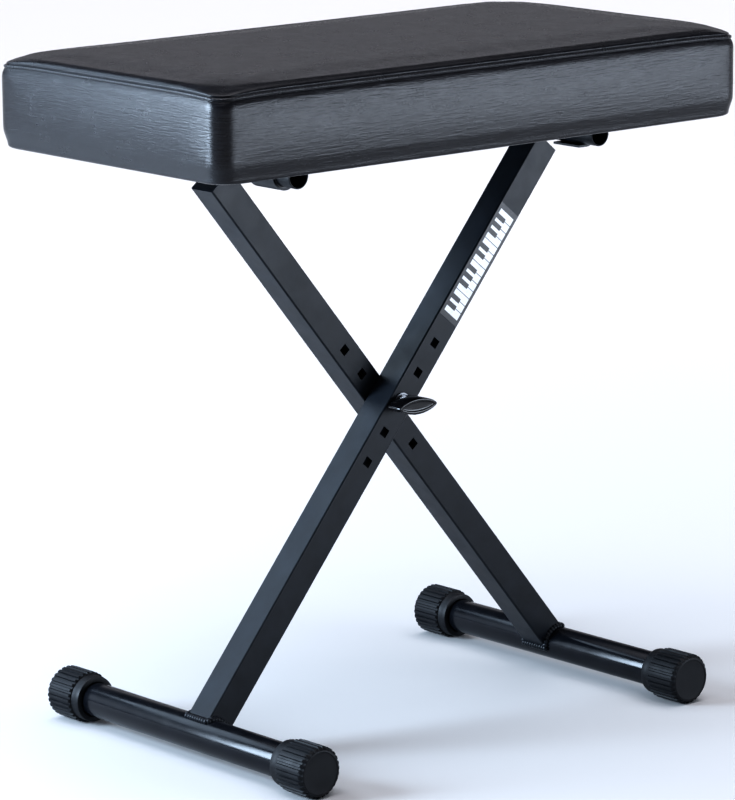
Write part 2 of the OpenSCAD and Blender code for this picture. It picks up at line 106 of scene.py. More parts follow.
class Surface:
    """A Principled material, built up from named layers of noise."""

    def __init__(self, name, colour, roughness, metallic=0.0, specular=0.5, coat=0.0, sheen=0.0):
        self.material = bpy.data.materials.new(name)
        self.material.use_nodes = True
        self.tree = self.material.node_tree
        self.shader = self.tree.nodes["Principled BSDF"]
        self.shader.inputs["Base Color"].default_value = (*colour, 1)
        self.shader.inputs["Roughness"].default_value = roughness
        self.shader.inputs["Metallic"].default_value = metallic
        self.shader.inputs["Specular IOR Level"].default_value = specular
        self.shader.inputs["Coat Weight"].default_value = coat
        self.shader.inputs["Coat Roughness"].default_value = 0.12
        self.shader.inputs["Sheen Weight"].default_value = sheen
        self.material.diffuse_color = (*colour, 1)
        self.colour = colour
        self.roughness = roughness
        self.height = None

    def add(self, kind, **values):
        node = self.tree.nodes.new(kind)
        for key, value in values.items():
            setattr(node, key, value)
        return node

    def link(self, source, target):
        self.tree.links.new(source, target)

    def place(self, scale):
        """The piece's own coordinates in metres, stretched by scale."""
        coords = self.add("ShaderNodeTexCoord")
        mapping = self.add("ShaderNodeMapping")
        mapping.inputs["Scale"].default_value = scale
        self.link(coords.outputs["Object"], mapping.inputs["Vector"])
        return mapping.outputs["Vector"]

    def noise(self, scale, detail=4.0):
        node = self.add("ShaderNodeTexNoise")
        node.inputs["Scale"].default_value = 1.0
        node.inputs["Detail"].default_value = detail
        node.inputs["Roughness"].default_value = 0.55
        self.link(self.place(scale), node.inputs["Vector"])
        return node.outputs["Fac"]

    def cells(self, scale, feature="DISTANCE_TO_EDGE"):
        node = self.add("ShaderNodeTexVoronoi", feature=feature)
        node.inputs["Scale"].default_value = 1.0
        self.link(self.place(scale), node.inputs["Vector"])
        return node.outputs["Distance"]

    def ramp(self, value, low, high, out_low=0.0, out_high=1.0):
        """Spreads the part of value between low and high over the whole output."""
        node = self.add("ShaderNodeMapRange")
        node.inputs["From Min"].default_value = low
        node.inputs["From Max"].default_value = high
        node.inputs["To Min"].default_value = out_low
        node.inputs["To Max"].default_value = out_high
        self.link(value, node.inputs["Value"])
        return node.outputs["Result"]

    def vary_colour(self, value, other):
        """Mixes the colour with another, by value."""
        mix = self.add("ShaderNodeMix", data_type="RGBA")
        mix.inputs["A"].default_value = (*self.colour, 1)
        mix.inputs["B"].default_value = (*other, 1)
        self.link(value, mix.inputs["Factor"])
        self.link(mix.outputs["Result"], self.shader.inputs["Base Color"])

    def vary_roughness(self, value, spread):
        """Makes the roughness rise and fall by spread about its own level."""
        low = self.roughness - spread
        high = self.roughness + spread
        self.link(self.ramp(value, 0.3, 0.7, low, high), self.shader.inputs["Roughness"])

    def raise_by(self, value, height):
        """Adds value, times height in millimetres, to the bump."""
        times = self.add("ShaderNodeMath", operation="MULTIPLY")
        times.inputs[1].default_value = height * MM
        self.link(value, times.inputs[0])
        if self.height is None:
            self.height = times.outputs["Value"]
            return
        plus = self.add("ShaderNodeMath", operation="ADD")
        self.link(self.height, plus.inputs[0])
        self.link(times.outputs["Value"], plus.inputs[1])
        self.height = plus.outputs["Value"]

    def done(self, strength=1.0):
        if self.height is not None:
            bump = self.add("ShaderNodeBump")
            bump.inputs["Strength"].default_value = strength
            bump.inputs["Distance"].default_value = 1.0
            self.link(self.height, bump.inputs["Height"])
            self.link(bump.outputs["Normal"], self.shader.inputs["Normal"])
        return self.material


def leatherette():
    """Black vinyl with fine pores and creases that run along the seat's sides."""
    s = Surface("black_leatherette", (0.007, 0.007, 0.009), 0.25, specular=0.32)
    pores = s.cells((900, 900, 900))
    s.raise_by(s.ramp(pores, 0.0, 0.22), 0.035)
    creases = s.noise((55, 55, 620), detail=5)
    s.raise_by(creases, 0.34)
    s.raise_by(s.noise((260, 260, 900), detail=3), 0.12)
    s.raise_by(s.noise((420, 420, 420), detail=4), 0.10)
    s.vary_roughness(s.noise((60, 60, 90), detail=4), 0.03)
    s.vary_colour(s.ramp(creases, 0.35, 0.7), (0.012, 0.013, 0.016))
    return s.done(0.8)


def powder_coat(name, colour, lighter, roughness, peel):
    """Black paint with a fine orange peel."""
    s = Surface(name, colour, roughness, specular=0.27)
    s.raise_by(s.noise((1400, 1400, 1400), detail=2), peel)
    s.raise_by(s.noise((380, 380, 380), detail=2), peel * 1.4)
    s.vary_roughness(s.noise((35, 35, 35)), 0.05)
    s.vary_colour(s.ramp(s.noise((60, 60, 60), detail=6), 0.35, 0.7), lighter)
    return s.done()


def moulded_rubber():
    s = Surface("moulded_rubber", (0.006, 0.007, 0.009), 0.50, specular=0.24)
    s.raise_by(s.noise((1100, 1100, 1100), detail=3), 0.03)
    s.vary_roughness(s.noise((90, 90, 90)), 0.08)
    s.vary_colour(s.ramp(s.noise((45, 45, 45), detail=5), 0.4, 0.7), (0.011, 0.012, 0.014))
    return s.done()


def gloss_plastic():
    s = Surface("gloss_black_plastic", (0.004, 0.004, 0.005), 0.16, specular=0.4, coat=0.15)
    s.raise_by(s.noise((160, 160, 160), detail=2), 0.02)
    s.vary_roughness(s.noise((70, 70, 70)), 0.05)
    return s.done(0.6)


def plated_steel(name, colour):
    s = Surface(name, colour, 0.32, metallic=1.0)
    s.raise_by(s.noise((300, 300, 1800), detail=3), 0.012)
    s.vary_roughness(s.noise((140, 140, 140)), 0.09)
    s.vary_colour(s.noise((80, 80, 80), detail=5), tuple(0.82 * c for c in colour))
    return s.done()


def nylon():
    s = Surface("black_nylon", (0.022, 0.022, 0.024), 0.42)
    s.vary_colour(s.noise((120, 120, 120)), (0.034, 0.034, 0.036))
    s.raise_by(s.noise((900, 900, 900)), 0.01)
    return s.done()


def plywood():
    s = Surface("birch_plywood", (0.52, 0.36, 0.20), 0.62, specular=0.3)
    s.vary_colour(s.ramp(s.noise((6, 160, 160), detail=6), 0.35, 0.65), (0.36, 0.23, 0.12))
    s.raise_by(s.noise((20, 600, 600), detail=4), 0.05)
    return s.done()


def foam():
    s = Surface("foam", (0.74, 0.69, 0.50), 0.9, specular=0.2)
    s.raise_by(s.cells((1200, 1200, 1200)), 0.3)
    s.vary_colour(s.noise((200, 200, 200)), (0.62, 0.56, 0.38))
    return s.done()


def non_woven():
    s = Surface("black_non_woven", (0.014, 0.014, 0.016), 0.85, specular=0.25, sheen=0.25)
    s.raise_by(s.noise((900, 1500, 900), detail=5), 0.12)
    s.raise_by(s.cells((420, 420, 420), feature="F1"), 0.08)
    s.vary_colour(s.ramp(s.noise((1200, 1200, 1200)), 0.4, 0.65), (0.035, 0.035, 0.038))
    return s.done()


def thread():
    s = Surface("black_thread", (0.02, 0.021, 0.026), 0.5, sheen=0.2)
    s.raise_by(s.noise((2500, 2500, 2500)), 0.05)
    s.vary_colour(s.noise((700, 700, 700)), (0.04, 0.042, 0.05))
    return s.done()


def sticker(name, colour, worn):
    s = Surface(name, colour, 0.34)
    s.vary_colour(s.ramp(s.noise((400, 400, 400), detail=5), 0.55, 0.75), worn)
    s.raise_by(s.noise((700, 700, 700)), 0.006)
    return s.done()


VINYL = leatherette()
SATIN = powder_coat("satin_powder_coat", (0.006, 0.008, 0.011), (0.009, 0.012, 0.017), 0.38, 0.012)
GLOSS = powder_coat("gloss_powder_coat", (0.004, 0.005, 0.007), (0.007, 0.008, 0.011), 0.20, 0.006)
RUBBER = moulded_rubber()
KNOB_BLACK = gloss_plastic()
ZINC = plated_steel("zinc_plate", (0.36, 0.37, 0.39))
BRASS = plated_steel("turned_brass", (0.62, 0.45, 0.19))
NYLON = nylon()
PLYWOOD = plywood()
FOAM = foam()
FELT = non_woven()
THREAD = thread()
LABEL_BLACK = sticker("label_black", (0.012, 0.012, 0.014), (0.03, 0.03, 0.034))
LABEL_WHITE = sticker("label_white", (0.80, 0.82, 0.84), (0.66, 0.68, 0.70))

# The finish of each node, whether it is seen or a drawn piece stands for it
NODE_FINISH = {
    "seat_board": PLYWOOD, "seat_foam": FOAM, "dust_cover": FELT,
    "cover_top_panel": VINYL, "cover_side_band": VINYL, "cover_welt": VINYL, "cover_hem": VINYL,
    "hem_staples": ZINC, "dust_cover_staples": ZINC, "bracket_screws": ZINC, "tee_nuts": ZINC,
    "saddle_left_front": SATIN, "saddle_left_rear": SATIN,
    "hook_right_front": SATIN, "hook_right_rear": SATIN,
    "saddle_liners": NYLON, "pivot_washer": NYLON,
    "front_leg_tube": SATIN, "rear_leg_tube": SATIN,
    "front_leg_welds": SATIN, "rear_leg_welds": SATIN,
    "foot_tube_left": GLOSS, "foot_tube_right": GLOSS,
    "cross_tube_left": SATIN, "cross_tube_right": SATIN,
    "front_leg_plug": RUBBER, "rear_leg_plug": RUBBER,
    "leg_label": LABEL_BLACK, "pivot_bolt": ZINC, "knob_washer": ZINC,
    "knob_body": KNOB_BLACK, "knob_insert": BRASS,
    "foot_cap_left_front": RUBBER, "foot_cap_left_rear": RUBBER,
    "foot_cap_right_front": RUBBER, "foot_cap_right_rear": RUBBER,
}


def finish_cad_nodes():
    for name, obj in frame["nodes"].items():
        for slot in obj.material_slots:
            slot.material = NODE_FINISH[name]


# ---------- mesh helpers ----------

def new_object(name, mesh, material):
    obj = bpy.data.objects.new(name, mesh)
    bpy.context.collection.objects.link(obj)
    if not mesh.materials:
        mesh.materials.append(material)
    return obj


def from_rings(name, rings, material, close_start=None, close_end=None, loop=False):
    """A skin over rings of equal length, given in millimetres.

    An end closes on its centre point. A loop joins the last ring to the first instead.
    """
    bm = bmesh.new()
    count = len(rings[0])
    rows = [[bm.verts.new(Vector(p) * MM) for p in ring] for ring in rings]
    pairs = list(zip(rows, rows[1:]))
    if loop:
        pairs.append((rows[-1], rows[0]))
    for low, high in pairs:
        for k in range(count):
            bm.faces.new((low[k], low[(k + 1) % count], high[(k + 1) % count], high[k]))
    for row, centre, flip in ((rows[0], close_start, True), (rows[-1], close_end, False)):
        if centre is None:
            continue
        tip = bm.verts.new(Vector(centre) * MM)
        for k in range(count):
            pair = (row[k], row[(k + 1) % count])
            bm.faces.new((*(pair[::-1] if flip else pair), tip))
    bmesh.ops.recalc_face_normals(bm, faces=bm.faces)
    mesh = bpy.data.meshes.new(name)
    bm.to_mesh(mesh)
    bm.free()
    obj = new_object(name, mesh, material)
    mesh.shade_smooth()
    return obj


def sharpen(obj, degrees):
    """Keeps the shading flat across edges sharper than degrees."""
    obj.data.set_sharp_from_angle(angle=math.radians(degrees))


def lathe_y(centre, profile, steps=96):
    """Turns a profile of (radius, y) points about a Y axis through centre."""
    rings = []
    for radius, y in profile:
        ring = []
        for k in range(steps):
            turn = 2 * math.pi * k / steps
            ring.append((centre.x + radius * math.sin(turn), y, centre.z - radius * math.cos(turn)))
        rings.append(ring)
    return rings


def arc(centre, radius, start, end, steps):
    """Points of an arc in a profile, angles in degrees."""
    points = []
    for k in range(steps + 1):
        turn = math.radians(start + (end - start) * k / steps)
        points.append((centre[0] + radius * math.cos(turn), centre[1] + radius * math.sin(turn)))
    return points


# ---------- Geometry Nodes: units repeated along a path ----------

def repeat_along(name, paths, unit, pitch, material):
    """Sets copies of unit along paths, pitch millimetres apart, as one mesh.

    Each path is its points, in millimetres, and whether it is closed.
    """
    mesh = bpy.data.meshes.new(name + "_path")
    verts, edges = [], []
    for points, closed in paths:
        first = len(verts)
        verts += [Vector(p) * MM for p in points]
        edges += [(first + k, first + k + 1) for k in range(len(points) - 1)]
        if closed:
            edges.append((first + len(points) - 1, first))
    mesh.from_pydata(verts, edges, [])
    holder = bpy.data.objects.new(name + "_holder", mesh)
    bpy.context.collection.objects.link(holder)

    tree = bpy.data.node_groups.new(name + "_nodes", "GeometryNodeTree")
    face = tree.interface
    face.new_socket("Path", in_out="INPUT", socket_type="NodeSocketGeometry")
    pitch_in = face.new_socket("Pitch", in_out="INPUT", socket_type="NodeSocketFloat")
    unit_in = face.new_socket("Unit", in_out="INPUT", socket_type="NodeSocketObject")
    finish_in = face.new_socket("Finish", in_out="INPUT", socket_type="NodeSocketMaterial")
    face.new_socket("Pieces", in_out="OUTPUT", socket_type="NodeSocketGeometry")
    add = tree.nodes.new
    start, end = add("NodeGroupInput"), add("NodeGroupOutput")
    curve, resample = add("GeometryNodeMeshToCurve"), add("GeometryNodeResampleCurve")
    resample.mode = "LENGTH"
    tangent, turn = add("GeometryNodeInputTangent"), add("FunctionNodeAlignEulerToVector")
    turn.axis = "X"
    info, place = add("GeometryNodeObjectInfo"), add("GeometryNodeInstanceOnPoints")
    realize, paint = add("GeometryNodeRealizeInstances"), add("GeometryNodeSetMaterial")
    for source, target in (
        (start.outputs["Path"], curve.inputs["Mesh"]),
        (curve.outputs["Curve"], resample.inputs["Curve"]),
        (start.outputs["Pitch"], resample.inputs["Length"]),
        (tangent.outputs["Tangent"], turn.inputs["Vector"]),
        (start.outputs["Unit"], info.inputs["Object"]),
        (resample.outputs["Curve"], place.inputs["Points"]),
        (info.outputs["Geometry"], place.inputs["Instance"]),
        (turn.outputs["Rotation"], place.inputs["Rotation"]),
        (place.outputs["Instances"], realize.inputs["Geometry"]),
        (realize.outputs["Geometry"], paint.inputs["Geometry"]),
        (start.outputs["Finish"], paint.inputs["Material"]),
        (paint.outputs["Geometry"], end.inputs["Pieces"]),
    ):
        tree.links.new(source, target)
    modifier = holder.modifiers.new("repeat", "NODES")
    modifier.node_group = tree
    modifier[pitch_in.identifier] = pitch * MM
    modifier[unit_in.identifier] = unit
    modifier[finish_in.identifier] = material
    graph = bpy.context.evaluated_depsgraph_get()
    made = bpy.data.meshes.new_from_object(holder.evaluated_get(graph))
    bpy.data.objects.remove(holder)
    bpy.data.objects.remove(unit)
    made.shade_smooth()
    return new_object(name, made, material)


def unit_bead(length, width, height, sides, rings):
    """A rounded bead along X, in millimetres."""
    rows = []
    for i in range(1, rings + 1):
        turn = math.pi * i / (rings + 1)
        x = -length / 2 * math.cos(turn)
        scale = math.sin(turn) ** 0.6
        row = []
        for k in range(sides):
            side = 2 * math.pi * k / sides
            row.append((x, width / 2 * scale * math.cos(side), height / 2 * scale * math.sin(side)))
        rows.append(row)
    return from_rings("unit", rows, VINYL, (-length / 2, 0, 0), (length / 2, 0, 0))


# ---------- cushion ----------

# Segments round the cushion: half of a long side, half of a short side, one corner
LONG_N, SHORT_N, CORNER_N = 62, 30, 10
# The stitches' place on the strip between the seam's grooves: inset, and height above the band
STITCH_IN, STITCH_Z = 2.2, 2.6


def corner_share(k, count):
    """1 at the middle of a corner, falling to 0 on the straight sides."""
    quarter = count // 4
    middle = SHORT_N + CORNER_N / 2
    place = k % (2 * quarter)
    place = min(place, 2 * quarter - place)
    return math.exp(-((place - middle) / (CORNER_N * 0.8)) ** 2)


def seat_ring(inset, z, radius):
    """Points round the seat's outline, set in, starting at the middle of the right end."""
    half_l = SEAT_L / 2 - inset
    half_w = SEAT_W / 2 - inset
    radius = min(radius, half_w - 0.05)
    quarter = [(half_l, (half_w - radius) * k / SHORT_N) for k in range(SHORT_N)]
    quarter += arc((half_l - radius, half_w - radius), radius, 0, 90, CORNER_N)[:-1]
    quarter += [((half_l - radius) * (1 - k / LONG_N), half_w) for k in range(LONG_N)]
    second = [(-x, y) for x, y in quarter[1:]][::-1]
    half = quarter + [(0, half_w)] + second
    lower = [(x, -y) for x, y in half[1:]][::-1]
    return [(x, y, z) for x, y in half + [(-half_l, 0)] + lower]


def cushion_profile():
    """Rows of the cushion's skin: inset, height, how far it follows the padding, share of the seam."""
    # flat under the board, then out over the turned-in hem
    under_z = BOARD_Z - 0.2
    rows = [(inset, under_z, 0, 0) for inset in (150, 120, 90, 60, HEM_IN + 0.2)]
    rows += [(HEM_IN, HEM_Z + 0.5, 0, 0), (HEM_IN - 0.4, HEM_Z, 0, 0)]
    rows += [(inset, HEM_Z, 0, 0) for inset in (22, 16, 11, 8)]
    rows += [(inset, z, 0, 0) for inset, z in arc((5.9, HEM_Z + 3.2), 3.2, -90, -168, 6)]
    # the cover runs in to the board's edge below the foam's bulge
    rows += [(inset, HEM_Z + z, follow, 0) for z, inset, follow in (
        (5.5, 2.5, 0.0), (8.5, 1.75, 0.04), (11.3, 1.12, 0.1), (13.4, 0.62, 0.2), (15.2, 0.3, 0.35),
        (17.4, 0.12, 0.52), (20, 0.03, 0.7), (23, 0.0, 0.87))]
    # the side band
    steps = 10
    low, high = HEM_Z + 23, WELT_Z - 7
    rows += [(0, low + (high - low) * k / steps, 1, 0) for k in range(1, steps)]
    # its rounded top, the lower groove, the stitched strip, the upper groove and the top panel's roll
    rows += [(inset, WELT_Z + z, follow, 1) for z, inset, follow in (
        (-7.0, 0.0, 0.85), (-4.6, 0.2, 0.7), (-2.8, 0.6, 0.55), (-1.4, 1.1, 0.45), (-0.5, 1.4, 0.35),
        (0.0, 1.6, 0.3), (0.3, 2.0, 0.3), (0.7, 2.0, 0.3),
        (1.1, 1.4, 0.3), (1.7, 1.2, 0.3), (2.6, 1.4, 0.3), (3.3, 1.9, 0.3), (3.6, 2.6, 0.3),
        (3.8, 3.3, 0.3), (4.1, 3.4, 0.3),
        (4.5, 3.0, 0.3), (5.4, 3.0, 0.35), (6.6, 3.6, 0.4), (7.8, 4.7, 0.5), (8.9, 6.1, 0.6),
        (9.7, 7.6, 0.7))]
    # the crowned top
    rows += [(inset, TOP_Z - drop, 0.6, seam) for inset, drop, seam in (
        (9.4, 0.55, 0.8), (11.6, 0.25, 0.6), (15, 0.1, 0.4), (21, 0, 0.2))]
    rows += [(inset, TOP_Z, 0.6, 0) for inset in (29, 38, 50, 64, 80, 98, 118, 138, 151)]
    return rows


def row_radius(inset):
    """The corner's radius grows from the side band's to the top's as the row goes in."""
    share = min(max(inset - ROLL_IN, 0) / 7, 1)
    return CORNER_R + (CROWN_CORNER_R - CORNER_R) * share


def skin_over(name, rings, material):
    """Closes rings round the seat into one body. The first and last rings are flat strips."""
    bm = bmesh.new()
    count = len(rings[0])
    rows = [[bm.verts.new(Vector(p) * MM) for p in ring] for ring in rings]
    for low, high in zip(rows, rows[1:]):
        for k in range(count):
            bm.faces.new((low[k], low[(k + 1) % count], high[(k + 1) % count], high[k]))
    for row in (rows[0], rows[-1]):
        for k in range(1, count // 2 - 1):
            bm.faces.new((row[k], row[k + 1], row[count - k - 1], row[count - k]))
        bm.faces.new((row[0], row[1], row[count - 1]))
        bm.faces.new((row[count // 2 - 1], row[count // 2], row[count // 2 + 1]))
    bmesh.ops.recalc_face_normals(bm, faces=bm.faces)
    mesh = bpy.data.meshes.new(name)
    bm.to_mesh(mesh)
    bm.free()
    obj = new_object(name, mesh, material)
    mesh.shade_smooth()
    return obj


def padding_swell():
    """Swells the padding as cloth under pressure. Returns where its points were, and their moves."""
    low = HEM_Z + 2
    rows = [(150, low), (90, low), (40, low), (10, low), (4, low + 1), (1.5, low + 6), (1, low + 14)]
    side_z, side_h, steps = low + 14, WELT_Z + 1 - low - 14, 6
    rows += [(1, side_z + side_h * k / steps) for k in range(1, steps + 1)]
    rows += [(4, WELT_Z + 5), (9, TOP_Z - 3), (16, TOP_Z - 1.2), (30, TOP_Z - 1), (70, TOP_Z - 1)]
    rows += [(110, TOP_Z - 1), (150, TOP_Z - 1)]
    pad = skin_over("padding", [seat_ring(i, z, row_radius(i)) for i, z in rows], VINYL)
    remesh = pad.modifiers.new("remesh", "REMESH")
    remesh.mode = "VOXEL"
    remesh.voxel_size = 5.5 * MM
    graph = bpy.context.evaluated_depsgraph_get()
    mesh = bpy.data.meshes.new_from_object(pad.evaluated_get(graph))
    bpy.data.objects.remove(pad)
    pad = new_object("padding", mesh, VINYL)
    before = [v.co.copy() for v in mesh.vertices]
    held = pad.vertex_groups.new(name="held")
    for v in mesh.vertices:
        # the seam and the board hold the padding, and the rest may swell
        at_seam = abs(v.co.z / MM - WELT_Z - 1) < 4.5
        at_board = v.co.z / MM < HEM_Z + 12
        if at_seam or at_board:
            held.add([v.index], 1.0, "REPLACE")
    cloth = pad.modifiers.new("cloth", "CLOTH")
    cloth.settings.quality = 5
    cloth.settings.mass = 0.3
    cloth.settings.tension_stiffness = 25
    cloth.settings.compression_stiffness = 25
    cloth.settings.shear_stiffness = 8
    cloth.settings.bending_stiffness = 0.8
    cloth.settings.use_pressure = True
    cloth.settings.uniform_pressure_force = 5
    cloth.settings.vertex_group_mass = "held"
    cloth.settings.effector_weights.gravity = 0
    frames = 20
    cloth.point_cache.frame_start = 1
    cloth.point_cache.frame_end = frames
    scene = bpy.context.scene
    for step in range(1, frames + 1):
        scene.frame_set(step)
    graph = bpy.context.evaluated_depsgraph_get()
    swollen = bpy.data.meshes.new_from_object(pad.evaluated_get(graph))
    after = [v.co.copy() for v in swollen.vertices]
    bpy.data.objects.remove(pad)
    scene.frame_set(1)
    return before, [b - a for a, b in zip(before, after)]


def swell_reader(before, moves):
    """A function that gives the padding's smoothed move near a point, at most SWELL_CAP."""
    tree = KDTree(len(before))
    for index, point in enumerate(before):
        tree.insert(point, index)
    tree.balance()

    def read(point):
        total, weight = Vector(), 0.0
        for _, index, distance in tree.find_n(point, 10):
            share = 1 / (distance + 3 * MM)
            total += moves[index] * share
            weight += share
        move = total / weight
        if move.length > SWELL_CAP * MM:
            move = move.normalized() * SWELL_CAP * MM
        return move

    return read


def shaped_ring(inset, z, follow, seam, swell):
    """One row of the cushion's skin, moved by the padding, the seam's dip and the corners' slope."""
    ring = seat_ring(inset, z, row_radius(inset))
    if follow == 0:
        return ring
    moved = []
    for k, point in enumerate(ring):
        corner = corner_share(k, len(ring))
        p = Vector(point) * MM
        p += swell(p) * follow
        p.z -= SEAM_DIP * corner * seam * MM
        # at the corners the top's edge comes half way down to one long slope
        if ROLL_IN < inset < SLOPE_IN and z > WELT_Z + 4:
            low, high = WELT_Z + 4.5, TOP_Z - 0.3
            slope = low + (high - low) * (inset - ROLL_IN) / (SLOPE_IN - ROLL_IN)
            p.z += 0.5 * (slope - z) * corner * MM
        moved.append(p / MM)
    return moved


def seat_cushion():
    """The padded seat in its cover. Returns its rows, for the stitches to follow."""
    swell = swell_reader(*padding_swell())
    rings = [shaped_ring(*row, swell) for row in cushion_profile()]
    cushion = skin_over("seat_cushion", rings, VINYL)
    smooth = cushion.modifiers.new("smooth", "SUBSURF")
    smooth.levels = 1
    smooth.render_levels = 1
    graph = bpy.context.evaluated_depsgraph_get()
    mesh = bpy.data.meshes.new_from_object(cushion.evaluated_get(graph))
    bpy.data.objects.remove(cushion)
    cushion = new_object("seat_cushion", mesh, VINYL)
    mesh.shade_smooth()
    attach(cushion, "seat")
    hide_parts("seat_foam", "cover_top_panel", "cover_side_band", "cover_welt", "cover_hem")
    return rings


def seam_stitches(rings):
    """A row of stitches along the welt strip, between the two grooves."""
    profile = cushion_profile()

    def off_strip(row):
        inset, z = profile[row][:2]
        return abs(inset - STITCH_IN) + abs(z - WELT_Z - STITCH_Z)

    strip = min(range(len(profile)), key=off_strip)
    path = [(x, y, z + 0.05) for x, y, z in rings[strip]]
    stitch, pitch = unit_bead(2.6, 0.5, 0.5, sides=6, rings=3), 3.6
    stitches = repeat_along("seam_stitches", [(path, True)], stitch, pitch, THREAD)
    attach(stitches, "seat")


def dust_cover_sheet():
    """The cloth under the board, drawn tight and dimpled a little between its staples."""
    low, high = DUST_LOW, DUST_HIGH
    columns, rows = 96, 44
    length = high.x - low.x
    width = high.y - low.y
    # the dimples' pitch and depth, and how far in they fade
    pitch, depth, fade = 42, 0.14, 18
    bm = bmesh.new()
    layers = []
    for z in (low.z, high.z - 0.05):
        grid = []
        for i in range(columns + 1):
            for j in range(rows + 1):
                x = low.x + length * i / columns
                y = low.y + width * j / rows
                edge = min(x - low.x, high.x - x, y - low.y, high.y - y)
                ripple = math.sin(x / pitch * 2 * math.pi) * math.sin(y / pitch * 2 * math.pi)
                dimple = depth * ripple * math.exp(-edge / fade)
                grid.append(bm.verts.new(Vector((x, y, z + dimple)) * MM))
        layers.append(grid)
    stride = rows + 1
    for grid in layers:
        for i in range(columns):
            for j in range(rows):
                a = i * stride + j
                bm.faces.new((grid[a], grid[a + 1], grid[a + stride + 1], grid[a + stride]))
    border = [(i, 0) for i in range(columns)] + [(columns, j) for j in range(rows)]
    border += [(i, rows) for i in range(columns, 0, -1)] + [(0, j) for j in range(rows, 0, -1)]
    for (i, j), (m, n) in zip(border, border[1:] + border[:1]):
        a, b = i * stride + j, m * stride + n
        bm.faces.new((layers[0][a], layers[0][b], layers[1][b], layers[1][a]))
    bmesh.ops.recalc_face_normals(bm, faces=bm.faces)
    mesh = bpy.data.meshes.new("dust_cover_cloth")
    bm.to_mesh(mesh)
    bm.free()
    cloth = new_object("dust_cover_cloth", mesh, FELT)
    mesh.shade_smooth()
    sharpen(cloth, 40)
    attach(cloth, "seat")
    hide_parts("dust_cover")


# ---------- frame ----------

def smooth_tube(node, body, material):
    """A drawn tube with rounded rims, along Y."""
    low, high = node_box(node)
    radius = tube_radius(node)
    rim = TUBE_WALL / 2
    profile = arc((radius - rim, low.y + rim), rim, 0, -180, 6)
    profile += arc((radius - rim, high.y - rim), rim, 180, 0, 6)
    rings = lathe_y((low + high) / 2, profile)
    tube = from_rings(node + "_drawn", rings, material, loop=True)
    sharpen(tube, 50)
    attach(tube, body)
    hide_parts(node)


CAP_RIBS = 28
# Corners of one rib, as shares of the pitch, and how high each stands
RIB_CORNERS = {-0.5: 0, -0.32: 0, -0.22: 1, -0.07: 1, 0.07: 1, 0.22: 1, 0.32: 0}
RIB_H = 1.5
CAP_L = 45
CAP_WALL = 6.125
COLLAR_L = 10
# How far the tube goes in, and how deep the end's face is set in its rim
CAP_BORE_L = 8
CAP_DISH = 0.6


def ribbed_cap(node, body):
    """A foot cap: smooth collar, a ribbed drum with rounded ribs, and a flat end with a rim."""
    low, high = node_box(node)
    centre = (low + high) / 2
    root = FOOT_R + CAP_WALL
    face = root + RIB_H - 3.5
    bore = FOOT_R + 0.1
    collar = root - 1
    outward = 1 if centre.y > 0 else -1
    inner_y = low.y if outward > 0 else high.y

    def place(radius, along, turn):
        """A point at radius and turn, along the cap from its inner end."""
        return (centre.x + radius * math.sin(turn), inner_y + outward * along,
                centre.z - radius * math.cos(turn))

    def rib_share(radius, along):
        """How much of a rib's height stands there: none on the collar and on the end."""
        if radius < face - 0.2:
            return 0
        start = min(max((along - COLLAR_L - 0.2) / 0.8, 0), 1)
        end = min(max((CAP_L - 0.5 - along) / 2.4, 0), 1)
        return start * end

    pitch = 2 * math.pi / CAP_RIBS
    corners = [(pitch * (rib + share), height) for rib in range(CAP_RIBS)
               for share, height in RIB_CORNERS.items()]

    # bore, collar, drum and dished end, as radius and distance from the inner end
    points = [(bore, CAP_BORE_L), (bore, 0.6), (bore + 0.5, 0.1)]
    points += [(collar - 1.2, 0), (collar - 0.3, 0.35), (collar, 1.2)]
    points += [(collar, 5), (collar, COLLAR_L - 0.6), (collar + 0.15, COLLAR_L - 0.05)]
    points += [(root - 0.4, COLLAR_L + 0.1), (root, COLLAR_L + 0.6), (root, COLLAR_L + 1.4)]
    points += [(root, along) for along in (18, 26, 34, CAP_L - 4.8, CAP_L - 3.6)]
    points += [(root - 0.4, CAP_L - 2.8), (root - 1.2, CAP_L - 1.6)]
    points += [(face + 0.5, CAP_L - 0.4), (face - 0.1, CAP_L), (face - 1.1, CAP_L)]
    points += [(face - 1.5, CAP_L - 0.5)]
    points += [(radius, CAP_L - CAP_DISH) for radius in (face - 2.2, face * 0.6, face * 0.25)]
    rings = []
    for radius, along in points:
        rib = RIB_H * rib_share(radius, along)
        rings.append([place(radius + rib * height, along, turn) for turn, height in corners])
    inside = place(0, CAP_BORE_L, 0)
    end = place(0, CAP_L - CAP_DISH, 0)
    cap = from_rings(node + "_moulded", rings, RUBBER, inside, end)
    sharpen(cap, 35)
    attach(cap, body)
    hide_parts(node)


def leg_point(side, along, across, y):
    """A point in a leg's own directions: along it from the pivot, across it to the inner side."""
    c, s = math.cos(LEG_ANGLE), math.sin(LEG_ANGLE)
    return (side * (along * c - across * s), y, PIVOT.z + along * s + across * c)


